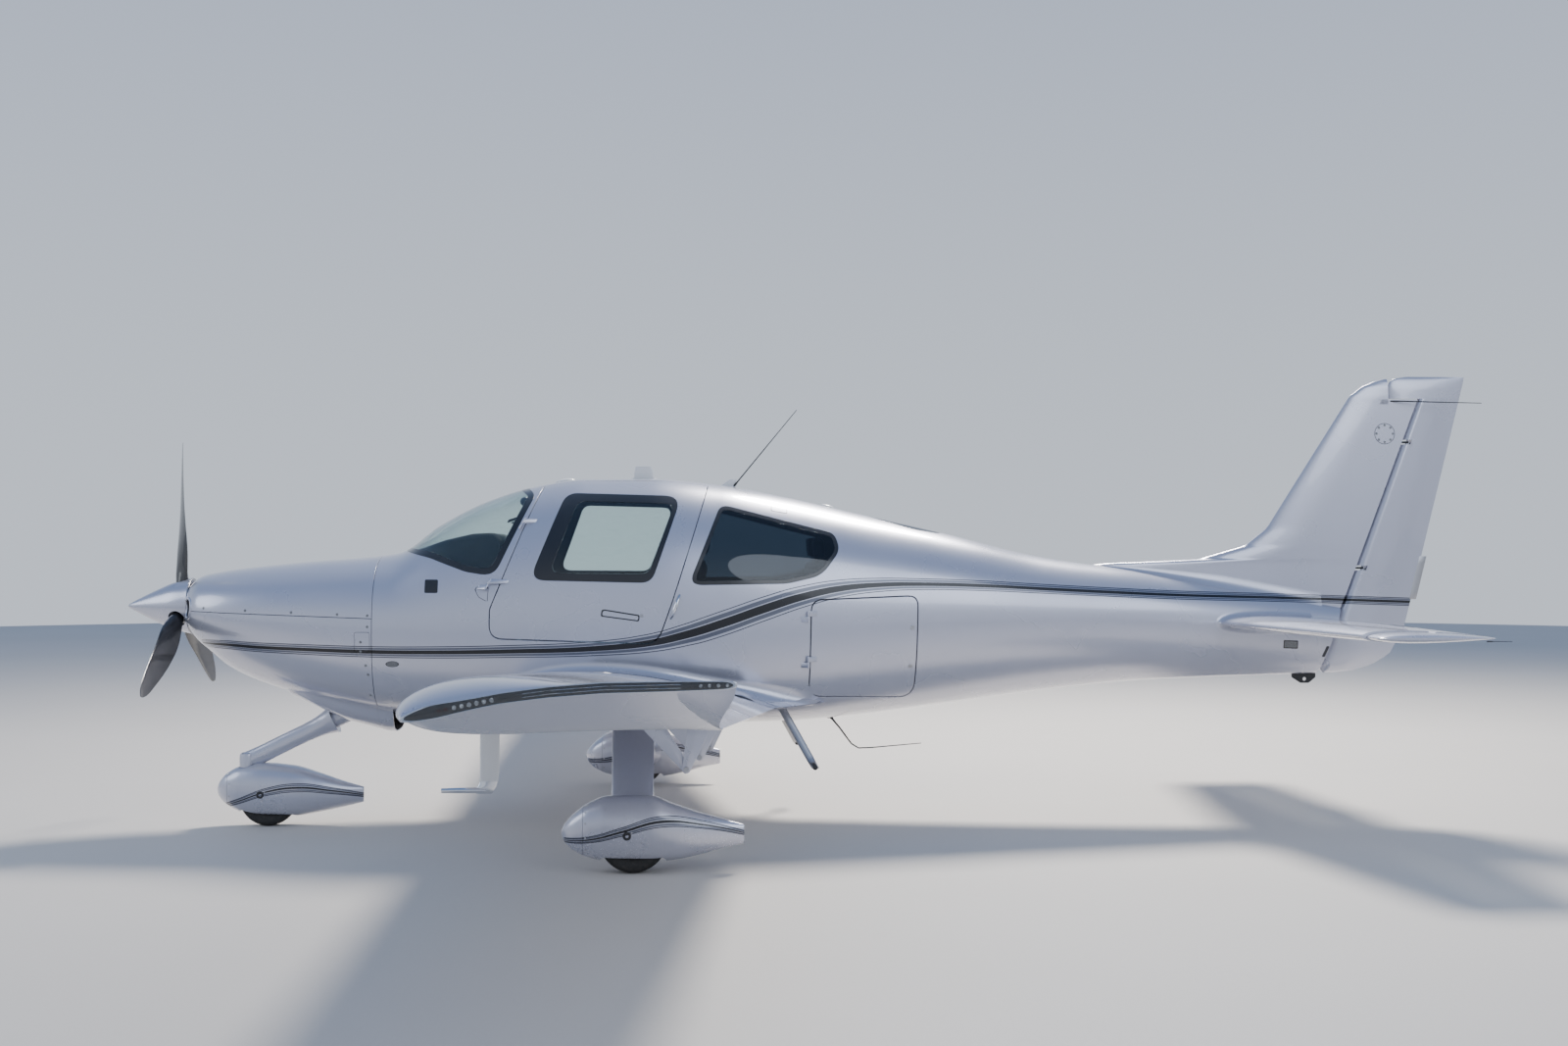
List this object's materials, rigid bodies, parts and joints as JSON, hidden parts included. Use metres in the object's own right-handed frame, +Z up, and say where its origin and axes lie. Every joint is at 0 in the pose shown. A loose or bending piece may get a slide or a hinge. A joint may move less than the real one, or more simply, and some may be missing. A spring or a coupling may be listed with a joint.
{
  "type": "light aircraft",
  "caption": "Low-wing light aircraft with cabin doors, fixed tricycle gear under wheel pants, nose propeller and moving flight surfaces.",
  "frame": {"origin": "on the ground under the middle of the aircraft's length and span", "axes": "+X aft, +Y to starboard, +Z up"},
  "size_m": [7.923, 11.68, 2.637],
  "materials": {
    "airframe_paint": "pearl silver-white gloss paint on composite skin",
    "propeller_black": "satin black composite",
    "clear_glazing": "clear acrylic, faint green",
    "smoked_glazing": "dark tinted acrylic",
    "lens": "smoked clear lens over light modules",
    "cabin_trim": "dark textured trim",
    "seat_leather": "grey leather",
    "tyre": "black rubber tyre on a white rim",
    "steel": "satin",
    "engine_metal": "cast, dull"
  },
  "bodies": {
    "airframe": {"cabin_left": "airframe_paint", "cabin_right": "airframe_paint", "cowl_upper": "airframe_paint", "cowl_lower": "airframe_paint", "wing_left": "airframe_paint", "wing_right": "airframe_paint", "stabiliser": "airframe_paint", "tail_cone": "airframe_paint", "fin": "airframe_paint", "nose_leg": "airframe_paint", "main_leg_left": "airframe_paint", "main_leg_right": "airframe_paint", "main_pant_left": "airframe_paint", "main_pant_right": "airframe_paint", "roof_antenna": "airframe_paint", "whip_antenna": "airframe_paint", "windshield": "clear_glazing", "roof_window": "smoked_glazing", "rear_window_left": "smoked_glazing", "rear_window_right": "smoked_glazing", "tip_light_left": "lens", "tip_light_right": "lens", "cabin_floor": "cabin_trim", "instrument_panel": "cabin_trim", "centre_console": "cabin_trim", "front_cushion_left": "seat_leather", "front_cushion_right": "seat_leather", "front_back_left": "seat_leather", "front_back_right": "seat_leather", "rear_cushion": "seat_leather", "rear_back": "seat_leather", "firewall": "steel", "tail_tie_down": "steel", "entry_step_left": "steel", "entry_step_right": "steel", "pitot_mast": "steel", "engine_block": "engine_metal"},
    "propeller": {"spinner": "airframe_paint", "propeller": "propeller_black"},
    "door_left": {"door_left": "airframe_paint", "door_window_left": "clear_glazing"},
    "door_right": {"door_right": "airframe_paint", "door_window_right": "clear_glazing"},
    "baggage_door": {"baggage_door": "airframe_paint"},
    "aileron_left": {"aileron_left": "airframe_paint"},
    "aileron_right": {"aileron_right": "airframe_paint"},
    "flap_left": {"flap_left": "airframe_paint"},
    "flap_right": {"flap_right": "airframe_paint"},
    "elevator": {"elevator": "airframe_paint"},
    "rudder": {"rudder": "airframe_paint"},
    "nose_fork": {"nose_fork": "steel", "nose_pant": "airframe_paint"},
    "nose_wheel": {"nose_wheel": "tyre"},
    "main_wheel_left": {"main_wheel_left": "tyre"},
    "main_wheel_right": {"main_wheel_right": "tyre"}
  },
  "joints": [
    {"name": "propeller_spin", "type": "hinge", "parent": "airframe", "child": "propeller", "pos_m": [-3.6575, 0, 1.268], "axis": [1, 0, 0], "continuous": true},
    {"name": "door_left_hinge", "type": "hinge", "parent": "airframe", "child": "door_left", "pos_m": [-1.8735, -0.62528, 1.372], "axis": [-0.4449, -0.3025, -0.8429], "range_deg": [0, 65]},
    {"name": "door_right_hinge", "type": "hinge", "parent": "airframe", "child": "door_right", "pos_m": [-1.8735, 0.62528, 1.372], "axis": [0.4449, -0.3025, 0.8429], "range_deg": [0, 65]},
    {"name": "baggage_door_hinge", "type": "hinge", "parent": "airframe", "child": "baggage_door", "pos_m": [-0.0855, -0.59295, 0.93], "axis": [0, 0, -1], "range_deg": [0, 90]},
    {"name": "aileron_left_hinge", "type": "hinge", "parent": "airframe", "child": "aileron_left", "pos_m": [-0.83874, -3.69, 0.99789], "axis": [0.0691, 0.9948, -0.0752], "range_deg": [-12.5, 12.5]},
    {"name": "aileron_right_hinge", "type": "hinge", "parent": "airframe", "child": "aileron_right", "pos_m": [-0.83874, 3.69, 0.99789], "axis": [-0.0691, 0.9948, 0.0752], "range_deg": [-12.5, 12.5]},
    {"name": "flap_left_hinge", "type": "hinge", "parent": "airframe", "child": "flap_left", "pos_m": [-0.63142, -0.706, 0.50924], "axis": [0.0666, 0.9946, -0.0798], "range_deg": [0, 32]},
    {"name": "flap_right_hinge", "type": "hinge", "parent": "airframe", "child": "flap_right", "pos_m": [-0.63142, 0.706, 0.50924], "axis": [-0.0666, 0.9946, 0.0798], "range_deg": [0, 32]},
    {"name": "elevator_hinge", "type": "hinge", "parent": "airframe", "child": "elevator", "pos_m": [3.0005, 0, 1.158], "axis": [0, 1, 0], "range_deg": [-25, 15]},
    {"name": "rudder_hinge", "type": "hinge", "parent": "airframe", "child": "rudder", "pos_m": [3.14215, 0, 1], "axis": [0.3487, 0, 0.9372], "range_deg": [-20, 20]},
    {"name": "nose_wheel_caster", "type": "hinge", "parent": "airframe", "child": "nose_fork", "pos_m": [-3.2865, 0, 0.33], "axis": [0, 0, 1], "range_deg": [-85, 85]},
    {"name": "nose_wheel_spin", "type": "hinge", "parent": "nose_fork", "child": "nose_wheel", "pos_m": [-3.1615, 0, 0.165], "axis": [0, 1, 0], "continuous": true},
    {"name": "main_wheel_left_spin", "type": "hinge", "parent": "airframe", "child": "main_wheel_left", "pos_m": [-1.0465, -1.65, 0.172], "axis": [0, 1, 0], "continuous": true},
    {"name": "main_wheel_right_spin", "type": "hinge", "parent": "airframe", "child": "main_wheel_right", "pos_m": [-1.0465, 1.65, 0.172], "axis": [0, 1, 0], "continuous": true}
  ],
  "couplings": [
    {"joint": "aileron_right_hinge", "follows": "aileron_left_hinge", "ratio": -1},
    {"joint": "flap_right_hinge", "follows": "flap_left_hinge", "ratio": 1}
  ]
}
